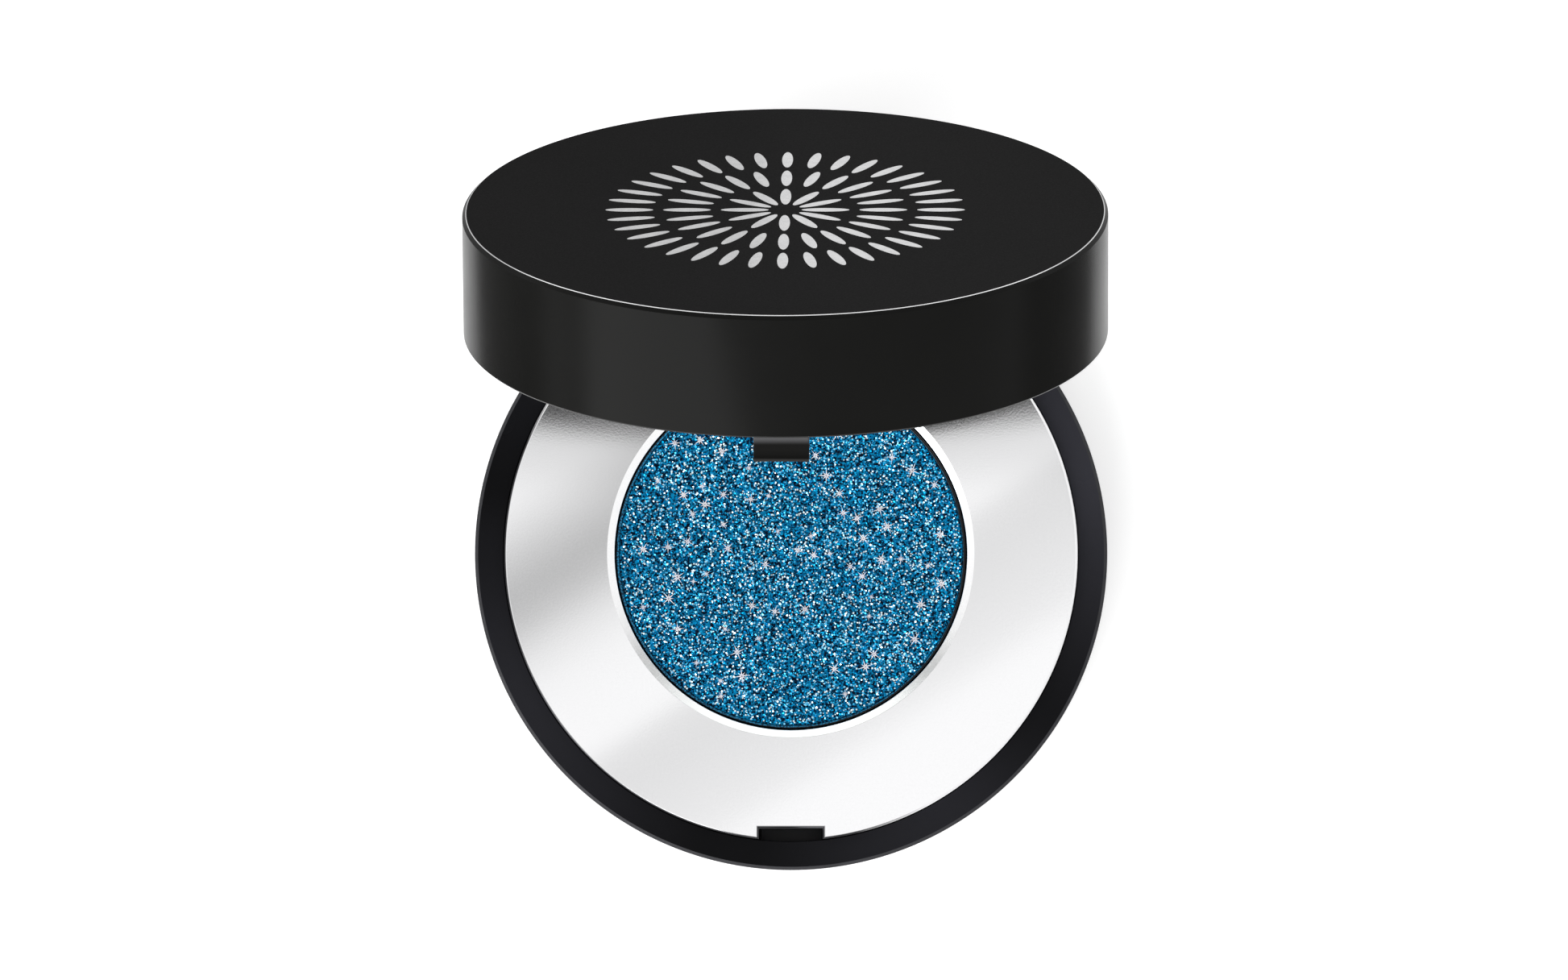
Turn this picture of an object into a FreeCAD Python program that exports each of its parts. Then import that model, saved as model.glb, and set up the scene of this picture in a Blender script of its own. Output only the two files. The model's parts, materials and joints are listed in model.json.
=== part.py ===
import FreeCAD, Part
import os
import Sketcher
from FreeCAD import Vector

# A round single-pan eyeshadow compact with a thick hinged lid, in millimetres and degrees.
# The origin is the centre of the underside, +Z is up and the hinge is at the back, on +Y.
# Lid pieces are drawn closed and then swung open about the hinge.

doc = FreeCAD.newDocument("round_compact")
sheet = doc.addObject("Spreadsheet::Sheet", "sizes")

# Driving sizes, each a row of the sheet
driving_sizes = {
    # Base
    "base_radius": 23.5,  # outside of base and lid
    "rim_height": 7.0,  # flat black rim above the table
    "rim_width": 2.12,  # flat black rim, outside to inside
    "rim_chamfer": 0.24,  # outer edge of the rim
    "foot_round": 0.8,  # lower outer edge of the base
    "base_floor": 1.5,  # top of the floor above the table
    "rib_width": 0.8,  # ring rib that centres the well
    "rib_height": 1.0,  # ring rib above the floor
    "rib_gap": 0.1,  # ring rib to well wall
    # Insert with its well
    "insert_gap": 0.05,  # insert to rim
    "insert_rise": 0.8,  # insert above the rim
    "insert_round": 0.2,  # outer top edge of the insert
    "insert_plate": 1.0,  # top plate of the insert
    "insert_skirt": 0.7,  # outer wall of the insert
    "well_wall": 0.9,  # wall around the pan
    "well_floor": 0.8,  # floor under the pan
    "well_bevel": 0.54,  # width of the bevel around the mouth of the well
    "well_bevel_drop": 0.3,  # depth of that bevel
    # Pan, powder and glue
    "pan_radius": 13.0,  # outside of the pan
    "pan_gap": 0.09,  # pan to well
    "pan_wall": 0.22,  # sheet that the pan is drawn from
    "pan_round": 0.6,  # outer bottom edge of the pan
    "pan_recess": 0.6,  # pan rim below the insert's top
    "powder_gap": 0.03,  # powder to pan wall
    "powder_recess": 0.1,  # powder below the pan rim
    "powder_edge": 0.1,  # worn top edge of the powder
    "glue_radius": 9.0,  # glue disc under the pan
    "glue_thickness": 0.2,  # glue disc under the pan
    # Snap beads that hold the insert in the base and the liner in the lid
    "snap_reach": 0.2,  # bead into the wall
    "snap_half": 0.35,  # half the height of a bead
    "snap_gap": 0.05,  # bead to its groove
    "insert_snap_level": 1.6,  # bead of the insert above the floor
    "liner_snap_level": 1.4,  # bead of the liner below the roof
    # Hinge
    "hinge_setback": 0.4,  # hinge axis behind the base
    "hinge_drop": 0.5,  # hinge axis below the rim
    "barrel_radius": 1.3,  # outside of ears and lug
    "barrel_gap": 0.25,  # barrel to the wall that it turns in
    "gusset": 1.5,  # slope that carries a barrel
    "lug_width": 7.7,  # lug of the lid
    "lug_side_gap": 0.15,  # lug to ear
    "ear_width": 3.0,  # each ear of the base
    "pin_radius": 0.5,  # hinge pin
    "pin_press_gap": 0.01,  # pin to ear
    "pin_running_gap": 0.05,  # pin to lug
    "pin_inset": 0.2,  # pin end inside the ear
    "pin_chamfer": 0.12,  # pin end
    "heel_reach": 0.7,  # stop heel beyond the barrel
    "heel_slope": 60,  # turn about the axis from the heel's tip to its back
    "lid_stop_angle": 112,  # opening at which the heel meets the base
    "lid_open_angle": 70,  # opening of the lid as drawn
    # Lid
    "parting_gap": 0.15,  # lid to rim when closed
    "lid_height": 9.25,  # lid, rim to top
    "lid_roof": 1.6,  # roof of the lid
    "lid_clearance": 0.22,  # lid wall set back from the rim's inside
    "lid_edge": 0.28,  # top edge of the lid
    "lid_rim_chamfer": 0.15,  # lower edge of the lid
    # Liner, mirror and tape
    "liner_gap": 0.08,  # liner to lid wall
    "liner_clear": 0.35,  # liner above the insert when closed
    "liner_plate": 1.0,  # plate behind the mirror
    "liner_skirt": 1.0,  # wall of the liner up to the roof
    "bezel_width": 1.8,  # ring around the mirror
    "bezel_chamfer": 0.4,  # inner edge of that ring
    "mirror_clear": 1.8,  # mirror above the insert when closed
    "mirror_thickness": 1.3,  # mirror glass
    "mirror_gap": 0.1,  # mirror to bezel
    "mirror_edge": 0.2,  # ground edge of the glass
    "tape_radius": 16.0,  # tape disc behind the mirror
    "tape_thickness": 0.15,  # tape disc behind the mirror
    # Catch
    "tongue_width": 4.0,  # catch tongue
    "tongue_thickness": 0.68,  # catch tongue
    "tongue_length": 2.4,  # catch tongue below the rim
    "tongue_gap": 0.1,  # tongue to the rim's inside
    "hook_reach": 0.27,  # hook beyond the tongue
    "hook_height": 0.9,  # hook
    "hook_point": 0.3,  # point of the hook above the tip of the tongue
    "catch_side_gap": 0.35,  # tongue to the sides of the notch
    "catch_back_gap": 0.2,  # tongue to the back of the notch
    "catch_play": 0.3,  # hook to its pocket
    "key_gap": 0.1,  # key of the base to the notch that it centres
    # Label on the underside
    "label_radius": 15.0,  # blank label
    "label_thickness": 0.12,  # blank label
    "label_margin": 0.3,  # label to the edge of its recess
    "label_recess": 0.3,  # depth of its recess
}
for row, (alias, number) in enumerate(driving_sizes.items(), start=1):
    sheet.set(f"A{row}", alias)
    sheet.set(f"B{row}", str(number))
    sheet.setAlias(f"B{row}", alias)
doc.recompute()

# Radii, heights and widths that several pieces share, as expressions of the driving sizes
RIM_INSIDE = "(sizes.base_radius - sizes.rim_width)"
INSERT_RADIUS = f"({RIM_INSIDE} - sizes.insert_gap)"
INSERT_TOP = "(sizes.rim_height + sizes.insert_rise)"
INSERT_SNAP = "(sizes.base_floor + sizes.insert_snap_level)"
WELL_RADIUS = "(sizes.pan_radius + sizes.pan_gap)"
WELL_OUTSIDE = f"({WELL_RADIUS} + sizes.well_wall)"
WELL_SEAT = "(sizes.base_floor + sizes.well_floor)"
PAN_BOTTOM = f"({WELL_SEAT} + sizes.glue_thickness)"
PAN_FLOOR = f"({PAN_BOTTOM} + sizes.pan_wall)"
PAN_RIM = f"({INSERT_TOP} - sizes.pan_recess)"
PAN_INSIDE = "(sizes.pan_radius - sizes.pan_wall)"
LID_BOTTOM = "(sizes.rim_height + sizes.parting_gap)"
LID_TOP = f"({LID_BOTTOM} + sizes.lid_height)"
LID_INSIDE = f"({RIM_INSIDE} + sizes.lid_clearance)"
ROOF_UNDERSIDE = f"({LID_TOP} - sizes.lid_roof)"
LINER_RADIUS = f"({LID_INSIDE} - sizes.liner_gap)"
LINER_BOTTOM = f"({INSERT_TOP} + sizes.liner_clear)"
LINER_SNAP = f"({ROOF_UNDERSIDE} - sizes.liner_snap_level)"
MIRROR_FACE = f"({INSERT_TOP} + sizes.mirror_clear)"
MIRROR_BACK = f"({MIRROR_FACE} + sizes.mirror_thickness)"
MIRROR_SEAT = f"({MIRROR_BACK} + sizes.tape_thickness)"
BEZEL_INSIDE = f"({LINER_RADIUS} - sizes.bezel_width)"
HINGE_Y = "(sizes.base_radius + sizes.hinge_setback)"
HINGE_Z = "(sizes.rim_height - sizes.hinge_drop)"
HINGE_AXIS = (HINGE_Y, HINGE_Z)
EAR_START = "(sizes.lug_width / 2 + sizes.lug_side_gap)"
HINGE_WIDTH = f"(2 * ({EAR_START} + sizes.ear_width))"
RELIEF_RADIUS = "(sizes.barrel_radius + sizes.barrel_gap)"
TONGUE_TIP = "(sizes.rim_height - sizes.tongue_length)"
TONGUE_OUTSIDE = f"({RIM_INSIDE} - sizes.tongue_gap)"
TONGUE_INSIDE = f"({TONGUE_OUTSIDE} - sizes.tongue_thickness)"
HOOK_TOP = f"({TONGUE_TIP} + sizes.hook_height)"
POCKET_BOTTOM = f"({TONGUE_TIP} - sizes.catch_play)"
NOTCH_WIDTH = "(sizes.tongue_width + 2 * sizes.catch_side_gap)"
NOTCH_INSIDE = f"({TONGUE_INSIDE} - sizes.catch_back_gap)"


def value(expression):
    """The number that an expression has now."""
    return float(sheet.evalExpression(expression))


def new_body(label):
    body = doc.addObject("PartDesign::Body", label)
    body.Label = label
    return body


def new_sketch(body, plane_role, offset="0"):
    """A sketch on one of the body's own origin planes, moved along that plane's normal."""
    sketch = body.newObject("Sketcher::SketchObject", "sketch")
    plane = next(item for item in body.Origin.OriginFeatures if item.Role == plane_role)
    sketch.AttachmentSupport = (plane, [""])
    sketch.MapMode = "FlatFace"
    sketch.setExpression("AttachmentOffset.Base.z", offset)
    return sketch


def place_point(sketch, geometry, point, place):
    """Ties a point of the sketch to a pair of expressions, measured from the sketch's origin."""
    for direction, expression in zip("XY", place):
        rule = Sketcher.Constraint(f"Distance{direction}", -1, 1, geometry, point, value(expression))
        sketch.setExpression(f"Constraints[{sketch.addConstraint(rule)}]", expression)


def draw_outline(sketch, corners):
    """A closed outline of straight lines through the corners, each a pair of expressions."""
    points = [Vector(value(x), value(y), 0) for x, y in corners]
    following = points[1:] + points[:1]
    for start, end in zip(points, following):
        sketch.addGeometry(Part.LineSegment(start, end))
    for line in range(len(corners)):
        next_line = (line + 1) % len(corners)
        sketch.addConstraint(Sketcher.Constraint("Coincident", line, 2, next_line, 1))
        place_point(sketch, line, 1, corners[line])


def draw_circle(sketch, centre, radius):
    middle = Vector(value(centre[0]), value(centre[1]), 0)
    circle = sketch.addGeometry(Part.Circle(middle, Vector(0, 0, 1), value(radius)))
    place_point(sketch, circle, 3, centre)
    rule = sketch.addConstraint(Sketcher.Constraint("Radius", circle, value(radius)))
    sketch.setExpression(f"Constraints[{rule}]", radius)


def turn(body, corners):
    """Turns an outline of radius and height pairs about the vertical axis."""
    sketch = new_sketch(body, "XZ_Plane")
    draw_outline(sketch, corners)
    feature = body.newObject("PartDesign::Revolution", "turned")
    feature.Profile = sketch
    feature.ReferenceAxis = (sketch, ["V_Axis"])
    feature.Angle = 360
    doc.recompute()
    return feature


def extrude(body, kind, sketch, length, symmetric=True):
    """Adds a Pad of the sketch, or cuts a Pocket, and makes sure that the body's volume changed."""
    before = 0 if body.Shape.isNull() else body.Shape.Volume
    feature = body.newObject(f"PartDesign::{kind}", kind.lower())
    feature.Profile = sketch
    feature.SideType = "Symmetric" if symmetric else "One side"
    feature.setExpression("Length", length)
    feature.Reversed = kind == "Pocket" and not symmetric
    doc.recompute()
    change = body.Shape.Volume - before
    if (change > 0) != (kind == "Pad"):
        raise RuntimeError(f"{body.Label}: a {kind} changed the volume by {change}")
    return feature


def across(body, kind, corners, width):
    """A Pad or Pocket across the middle of the compact, from an outline of y and height pairs."""
    sketch = new_sketch(body, "YZ_Plane")
    draw_outline(sketch, corners)
    return extrude(body, kind, sketch, width)


def barrel(body, kind, radius, width):
    """A round Pad or Pocket on the hinge axis, centred on the lug."""
    sketch = new_sketch(body, "YZ_Plane")
    draw_circle(sketch, HINGE_AXIS, radius)
    return extrude(body, kind, sketch, width)


def on_both_sides(body, features):
    """Repeats features of the right-hand side on the left-hand side."""
    mirrored = body.newObject("PartDesign::Mirrored", "both_sides")
    mirrored.Originals = features
    plane = next(item for item in body.Origin.OriginFeatures if item.Role == "YZ_Plane")
    mirrored.MirrorPlane = (plane, [""])
    body.Tip = mirrored
    doc.recompute()


def disc(body, radius, bottom, thickness):
    sketch = new_sketch(body, "XY_Plane", bottom)
    draw_circle(sketch, ("0", "0"), radius)
    extrude(body, "Pad", sketch, thickness, symmetric=False)


def ring_edges(shape, radius, height):
    """Names of the level round edges that have this radius and height."""
    names = []
    for number, edge in enumerate(shape.Edges, start=1):
        if isinstance(edge.Curve, Part.Circle):
            same_radius = abs(edge.Curve.Radius - value(radius)) < Part.Precision.confusion()
            same_height = abs(edge.Curve.Center.z - value(height)) < Part.Precision.confusion()
            if same_radius and same_height:
                names.append(f"Edge{number}")
    return names


def round_ring(body, feature, ring, radius):
    """Rounds the round edge at a radius and height pair of the feature."""
    fillet = body.newObject("PartDesign::Fillet", "round")
    fillet.Base = (feature, ring_edges(feature.Shape, *ring))
    fillet.setExpression("Radius", radius)
    doc.recompute()
    return fillet


def bead(wall, level, clearance="0"):
    """Corners of a snap bead, or with a clearance of its groove, from its top to its bottom."""
    half = f"(sizes.snap_half + {clearance})"
    return [
        (wall, f"{level} + {half}"),
        (f"{wall} + sizes.snap_reach + {clearance}", level),
        (wall, f"{level} - {half}"),
    ]


def swing_open(body):
    """Swings a piece of the closed lid about the hinge to its place on the open compact."""
    angle = "sizes.lid_open_angle"
    body.Placement = FreeCAD.Placement(Vector(), FreeCAD.Rotation(Vector(-1, 0, 0), value(angle)))
    body.setExpression("Placement.Rotation.Angle", angle)
    body.setExpression("Placement.Base.y", f"{HINGE_Y} * (1 - cos({angle})) - {HINGE_Z} * sin({angle})")
    body.setExpression("Placement.Base.z", f"{HINGE_Z} * (1 - cos({angle})) + {HINGE_Y} * sin({angle})")


def make_base_shell():
    body = new_body("base_shell")
    recess_radius = "sizes.label_radius + sizes.label_margin"
    rib_inside = f"{WELL_OUTSIDE} + sizes.rib_gap"
    rib_outside = f"{rib_inside} + sizes.rib_width"
    rib_top = "sizes.base_floor + sizes.rib_height"
    cup = turn(
        body,
        [
            ("0", "sizes.label_recess"),
            (recess_radius, "sizes.label_recess"),
            (recess_radius, "0"),
            ("sizes.base_radius", "0"),
            ("sizes.base_radius", "sizes.rim_height - sizes.rim_chamfer"),
            ("sizes.base_radius - sizes.rim_chamfer", "sizes.rim_height"),
            (RIM_INSIDE, "sizes.rim_height"),
            *bead(RIM_INSIDE, INSERT_SNAP, "sizes.snap_gap"),
            (RIM_INSIDE, "sizes.base_floor"),
            (rib_outside, "sizes.base_floor"),
            (rib_outside, rib_top),
            (rib_inside, rib_top),
            (rib_inside, "sizes.base_floor"),
            ("0", "sizes.base_floor"),
        ],
    )
    round_ring(body, cup, ("sizes.base_radius", "0"), "sizes.foot_round")

    # Key that centres the insert's notch, and the pocket that the hook snaps into
    key_inside = f"-({NOTCH_INSIDE} + sizes.key_gap)"
    key_outside = f"-({RIM_INSIDE} + sizes.snap_reach + sizes.snap_gap)"
    across(
        body,
        "Pad",
        [
            (key_outside, "sizes.base_floor"),
            (key_inside, "sizes.base_floor"),
            (key_inside, POCKET_BOTTOM),
            (key_outside, POCKET_BOTTOM),
        ],
        f"{NOTCH_WIDTH} - 2 * sizes.key_gap",
    )
    pocket_back = f"-({TONGUE_OUTSIDE} + sizes.hook_reach + sizes.catch_play)"
    pocket_top = f"{HOOK_TOP} + sizes.catch_play / 2"
    across(
        body,
        "Pocket",
        [
            (pocket_back, POCKET_BOTTOM),
            (f"-{TONGUE_INSIDE}", POCKET_BOTTOM),
            (f"-{TONGUE_INSIDE}", pocket_top),
            (pocket_back, pocket_top),
        ],
        NOTCH_WIDTH,
    )

    # Two ears, with room between them for the lid's lug
    web_sketch = new_sketch(body, "YZ_Plane", EAR_START)
    draw_outline(
        web_sketch,
        [
            (RIM_INSIDE, HINGE_Z),
            HINGE_AXIS,
            (HINGE_Y, f"{HINGE_Z} - sizes.barrel_radius"),
            (RIM_INSIDE, f"{HINGE_Z} - sizes.barrel_radius - sizes.gusset"),
        ],
    )
    web = extrude(body, "Pad", web_sketch, "sizes.ear_width", symmetric=False)
    ear_sketch = new_sketch(body, "YZ_Plane", EAR_START)
    draw_circle(ear_sketch, HINGE_AXIS, "sizes.barrel_radius")
    ear = extrude(body, "Pad", ear_sketch, "sizes.ear_width", symmetric=False)
    on_both_sides(body, [web, ear])
    barrel(body, "Pocket", RELIEF_RADIUS, f"2 * {EAR_START}")
    barrel(body, "Pocket", "sizes.pin_radius + sizes.pin_press_gap", f"{HINGE_WIDTH} + sizes.pin_inset")
    return body


def make_insert_frame():
    body = new_body("insert_frame")
    skirt_inside = f"{INSERT_RADIUS} - sizes.insert_skirt"
    plate_underside = f"{INSERT_TOP} - sizes.insert_plate"
    ring = turn(
        body,
        [
            ("0", WELL_SEAT),
            (WELL_RADIUS, WELL_SEAT),
            (WELL_RADIUS, f"{INSERT_TOP} - sizes.well_bevel_drop"),
            (f"{WELL_RADIUS} + sizes.well_bevel", INSERT_TOP),
            (INSERT_RADIUS, INSERT_TOP),
            *bead(INSERT_RADIUS, INSERT_SNAP),
            (INSERT_RADIUS, "sizes.base_floor"),
            (skirt_inside, "sizes.base_floor"),
            (skirt_inside, plate_underside),
            (WELL_OUTSIDE, plate_underside),
            (WELL_OUTSIDE, "sizes.base_floor"),
            ("0", "sizes.base_floor"),
        ],
    )
    round_ring(body, ring, (INSERT_RADIUS, INSERT_TOP), "sizes.insert_round")

    # Notch at the front that lets the tongue through
    notch_outside = f"{RIM_INSIDE} + sizes.snap_reach + sizes.snap_gap"
    across(
        body,
        "Pocket",
        [
            (f"-({notch_outside})", "0"),
            (f"-{NOTCH_INSIDE}", "0"),
            (f"-{NOTCH_INSIDE}", LINER_BOTTOM),
            (f"-({notch_outside})", LINER_BOTTOM),
        ],
        NOTCH_WIDTH,
    )
    return body


def make_pan():
    body = new_body("pan")
    cup = turn(
        body,
        [
            ("0", PAN_BOTTOM),
            ("sizes.pan_radius", PAN_BOTTOM),
            ("sizes.pan_radius", PAN_RIM),
            (PAN_INSIDE, PAN_RIM),
            (PAN_INSIDE, PAN_FLOOR),
            ("0", PAN_FLOOR),
        ],
    )
    outside = round_ring(body, cup, ("sizes.pan_radius", PAN_BOTTOM), "sizes.pan_round")
    round_ring(body, outside, (PAN_INSIDE, PAN_FLOOR), "sizes.pan_round - sizes.pan_wall")
    return body


def make_powder_cake():
    body = new_body("powder_cake")
    radius = f"({PAN_INSIDE} - sizes.powder_gap)"
    top = f"{PAN_RIM} - sizes.powder_recess"
    turn(
        body,
        [
            ("0", PAN_FLOOR),
            (f"{radius} - sizes.pan_round", PAN_FLOOR),
            (radius, f"{PAN_FLOOR} + sizes.pan_round"),
            (radius, f"{top} - sizes.powder_edge"),
            (f"{radius} - sizes.powder_edge", top),
            ("0", top),
        ],
    )
    return body


def make_pan_adhesive():
    body = new_body("pan_adhesive")
    disc(body, "sizes.glue_radius", WELL_SEAT, "sizes.glue_thickness")
    return body


def make_hinge_pin():
    body = new_body("hinge_pin")
    pin = barrel(body, "Pad", "sizes.pin_radius", f"{HINGE_WIDTH} - 2 * sizes.pin_inset")
    rings = [
        f"Edge{number}"
        for number, edge in enumerate(pin.Shape.Edges, start=1)
        if isinstance(edge.Curve, Part.Circle)
    ]
    ends = body.newObject("PartDesign::Chamfer", "ends")
    ends.Base = (pin, rings)
    ends.setExpression("Size", "sizes.pin_chamfer")
    doc.recompute()
    return body


def make_base_label():
    body = new_body("base_label")
    disc(body, "sizes.label_radius", "sizes.label_recess - sizes.label_thickness", "sizes.label_thickness")
    return body


def make_lid_shell():
    body = new_body("lid_shell")
    turn(
        body,
        [
            ("0", ROOF_UNDERSIDE),
            (LID_INSIDE, ROOF_UNDERSIDE),
            *bead(LID_INSIDE, LINER_SNAP, "sizes.snap_gap"),
            (LID_INSIDE, LID_BOTTOM),
            ("sizes.base_radius - sizes.lid_rim_chamfer", LID_BOTTOM),
            ("sizes.base_radius", f"{LID_BOTTOM} + sizes.lid_rim_chamfer"),
            ("sizes.base_radius", f"{LID_TOP} - sizes.lid_edge"),
            ("sizes.base_radius - sizes.lid_edge", LID_TOP),
            ("0", LID_TOP),
        ],
    )

    # Lug between the base's ears
    across(
        body,
        "Pad",
        [
            (LID_INSIDE, LID_BOTTOM),
            (HINGE_Y, LID_BOTTOM),
            (HINGE_Y, f"{HINGE_Z} + sizes.barrel_radius"),
            (LID_INSIDE, f"{HINGE_Z} + sizes.barrel_radius + sizes.gusset"),
        ],
        "sizes.lug_width",
    )
    barrel(body, "Pad", "sizes.barrel_radius", "sizes.lug_width")

    # Heel that stops the lid against the back of the base
    heel_radius = "(sizes.barrel_radius + sizes.heel_reach)"
    heel_angle = f"(sizes.lid_stop_angle - 90 - asin(sizes.hinge_setback / {heel_radius}) / 1deg)"
    back_angle = f"({heel_angle} + sizes.heel_slope)"
    across(
        body,
        "Pad",
        [
            HINGE_AXIS,
            (f"{HINGE_Y} + {heel_radius} * cos({heel_angle})", f"{HINGE_Z} + {heel_radius} * sin({heel_angle})"),
            (
                f"{HINGE_Y} + sizes.barrel_radius * cos({back_angle})",
                f"{HINGE_Z} + sizes.barrel_radius * sin({back_angle})",
            ),
        ],
        "sizes.lug_width",
    )

    # Room in the lid's wall for the ears, and the bore for the pin
    relief_sketch = new_sketch(body, "YZ_Plane", "sizes.lug_width / 2")
    draw_circle(relief_sketch, HINGE_AXIS, RELIEF_RADIUS)
    relief = extrude(
        body, "Pocket", relief_sketch, "sizes.ear_width + 2 * sizes.lug_side_gap", symmetric=False
    )
    on_both_sides(body, [relief])
    barrel(body, "Pocket", "sizes.pin_radius + sizes.pin_running_gap", "sizes.lug_width")
    swing_open(body)
    return body


def make_lid_liner():
    body = new_body("lid_liner")
    skirt_inside = f"{LINER_RADIUS} - sizes.liner_skirt"
    plate_top = f"{MIRROR_SEAT} + sizes.liner_plate"
    turn(
        body,
        [
            ("0", plate_top),
            (skirt_inside, plate_top),
            (skirt_inside, ROOF_UNDERSIDE),
            (LINER_RADIUS, ROOF_UNDERSIDE),
            *bead(LINER_RADIUS, LINER_SNAP),
            (LINER_RADIUS, LINER_BOTTOM),
            (f"{BEZEL_INSIDE} + sizes.bezel_chamfer", LINER_BOTTOM),
            (BEZEL_INSIDE, f"{LINER_BOTTOM} + sizes.bezel_chamfer"),
            (BEZEL_INSIDE, MIRROR_SEAT),
            ("0", MIRROR_SEAT),
        ],
    )

    # Catch tongue with its hook
    root = f"{LINER_BOTTOM} + sizes.bezel_chamfer"
    across(
        body,
        "Pad",
        [
            (f"-{TONGUE_INSIDE}", root),
            (f"-{TONGUE_OUTSIDE}", root),
            (f"-{TONGUE_OUTSIDE}", HOOK_TOP),
            (f"-({TONGUE_OUTSIDE} + sizes.hook_reach)", f"{TONGUE_TIP} + sizes.hook_point"),
            (f"-{TONGUE_OUTSIDE}", TONGUE_TIP),
            (f"-{TONGUE_INSIDE}", TONGUE_TIP),
        ],
        "sizes.tongue_width",
    )
    swing_open(body)
    return body


def make_mirror():
    body = new_body("mirror")
    radius = f"({BEZEL_INSIDE} - sizes.mirror_gap)"
    turn(
        body,
        [
            ("0", MIRROR_FACE),
            (f"{radius} - sizes.mirror_edge", MIRROR_FACE),
            (radius, f"{MIRROR_FACE} + sizes.mirror_edge"),
            (radius, MIRROR_BACK),
            ("0", MIRROR_BACK),
        ],
    )
    swing_open(body)
    return body


def make_mirror_adhesive():
    body = new_body("mirror_adhesive")
    disc(body, "sizes.tape_radius", MIRROR_BACK, "sizes.tape_thickness")
    swing_open(body)
    return body


pieces = [
    make_base_shell(),
    make_insert_frame(),
    make_pan_adhesive(),
    make_pan(),
    make_powder_cake(),
    make_hinge_pin(),
    make_base_label(),
    make_lid_shell(),
    make_lid_liner(),
    make_mirror_adhesive(),
    make_mirror(),
]
doc.recompute()

for item in doc.Objects:
    if "Invalid" in item.State or "Error" in item.State:
        raise RuntimeError(f"{item.Label} failed: {item.State}")
for piece in pieces:
    if piece.Shape.isNull() or not piece.Shape.isValid() or len(piece.Shape.Solids) != 1:
        raise RuntimeError(f"{piece.Label} is not one valid solid")

os.makedirs("parts", exist_ok=True)
for piece in pieces:
    piece.Shape.exportStep(f"parts/{piece.Label}.step")
    print(f"{piece.Label}: {piece.Shape.Volume:.1f} cubic mm")
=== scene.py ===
import json
import math

import bmesh
import bpy
from mathutils import Matrix, Vector


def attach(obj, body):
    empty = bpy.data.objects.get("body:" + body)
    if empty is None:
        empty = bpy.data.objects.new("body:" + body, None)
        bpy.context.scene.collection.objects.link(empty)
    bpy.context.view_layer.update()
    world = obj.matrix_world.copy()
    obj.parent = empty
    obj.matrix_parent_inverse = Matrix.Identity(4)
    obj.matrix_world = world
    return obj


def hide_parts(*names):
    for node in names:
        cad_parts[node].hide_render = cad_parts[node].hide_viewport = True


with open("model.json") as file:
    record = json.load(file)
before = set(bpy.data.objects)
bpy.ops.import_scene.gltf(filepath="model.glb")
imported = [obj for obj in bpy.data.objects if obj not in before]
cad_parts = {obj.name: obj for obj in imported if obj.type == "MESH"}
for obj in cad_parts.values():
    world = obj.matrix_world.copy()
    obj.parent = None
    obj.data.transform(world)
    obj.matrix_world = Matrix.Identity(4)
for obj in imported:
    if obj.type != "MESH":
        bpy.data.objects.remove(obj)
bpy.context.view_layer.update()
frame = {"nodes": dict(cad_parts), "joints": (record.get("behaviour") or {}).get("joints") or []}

# Base shell
# The lower half of the case, a shallow cup injection-moulded in black ABS. Its flat rim frames the insert,
# two ears at the back hold the hinge pin, and a pocket behind the front of the rim takes the catch.

MM = 0.001
SIDES = 256  # sides of a turned piece
ARC_STEP = math.radians(15)
HOLD = 0.01  # short run beside an arc, in mm, that keeps the flats flat under smooth shading
SHARP = math.radians(32)
STEEP, LEVEL = 0.3, 0.95  # how far the normal of a sloping face and of a level face points upwards
HINGE = (23.9, 6.5)  # y and height of the hinge axis, in mm
BARREL, BARREL_ROOM, EAR_BORE = 1.3, 1.55, 0.51
ROOM_TURN, BORE_TURN, TURN_STEP = 352.5, 345, 7.5  # last angles of round cuts and the step, in degrees
EAR_FROM, EAR_TO, BORE_TO = 4.0, 7.0, 7.5
RIM_INSIDE, CHAMFER_FROM = 21.38, 6.7
KEY_TOP, KEY_HALF, POCKET_HALF = 4.3, 2.25, 2.35


def linear(hex_colour):
    """A colour written in sRGB hex, as the linear values that sockets take."""
    parts = [int(hex_colour[i : i + 2], 16) / 255 for i in (1, 3, 5)]
    return (*(p / 12.92 if p <= 0.04045 else ((p + 0.055) / 1.055) ** 2.4 for p in parts), 1.0)


def add_node(tree, kind, inputs=(), stops=(), **settings):
    """Adds a node with its settings and ramp stops, and fills its inputs with values or nodes' outputs."""
    made = tree.nodes.new(kind)
    for name, setting in settings.items():
        setattr(made, name, setting)
    for key, given in dict(inputs).items():
        if isinstance(given, bpy.types.NodeSocket):
            tree.links.new(given, made.inputs[key])
        else:
            made.inputs[key].default_value = given
    for _ in stops[2:]:
        made.color_ramp.elements.new(1.0)
    for number, (position, colour) in enumerate(stops):
        made.color_ramp.elements[number].position = position
        made.color_ramp.elements[number].color = colour
    return made


def new_material(name, surface):
    """A material with its constant shader sockets set, its tree, its shader and its Object coordinates."""
    made = bpy.data.materials.new(name)
    made.use_nodes = True
    shader = made.node_tree.nodes["Principled BSDF"]
    for socket, given in surface.items():
        shader.inputs[socket].default_value = given
    where = add_node(made.node_tree, "ShaderNodeTexCoord").outputs["Object"]
    return made, made.node_tree, shader, where


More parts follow.
